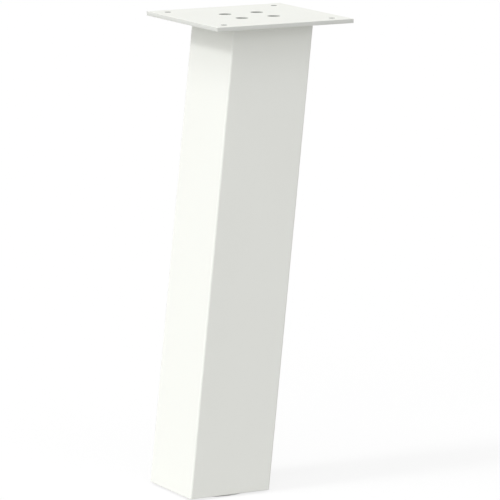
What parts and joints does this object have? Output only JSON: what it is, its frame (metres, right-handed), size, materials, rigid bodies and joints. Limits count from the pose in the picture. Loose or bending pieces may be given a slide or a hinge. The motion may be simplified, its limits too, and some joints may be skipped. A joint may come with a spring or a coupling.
{
  "type": "furniture leg",
  "caption": "Leaning square steel table leg with a square mounting plate on top and a round levelling foot set into its level-cut lower end.",
  "frame": {"origin": "centre of the mounting plate's top face", "axes": "+Z out of the plate's top face, +X away from the lean, so that the tube's foot end lies towards -X"},
  "size_m": [0.1399, 0.128, 0.4],
  "materials": {
    "powder_coat": "fine satin white powder coat",
    "zinc_plate": "bright zinc plating",
    "foot_plastic": "matt moulded pale plastic"
  },
  "bodies": {
    "leg": {"mounting_plate": "powder_coat", "leg_tube": "powder_coat", "top_weld": "powder_coat", "end_plate": "powder_coat", "end_plate_weld": "powder_coat", "weld_nut": "zinc_plate"},
    "foot": {"foot_pad": "foot_plastic"},
    "stud": {"foot_stud": "zinc_plate"}
  },
  "joints": [
    {"name": "foot_travel", "type": "slide", "parent": "leg", "child": "foot", "axis": [0, 0, -1], "range_m": [0, 0.012]},
    {"name": "stud_turn", "type": "hinge", "parent": "foot", "child": "stud", "pos_m": [-0.03827, 0, -0.39], "axis": [0, 0, -1], "range_deg": [0, 2890]}
  ],
  "couplings": [
    {"joint": "stud_turn", "follows": "foot_travel", "rad_per_m": 4188.8}
  ]
}
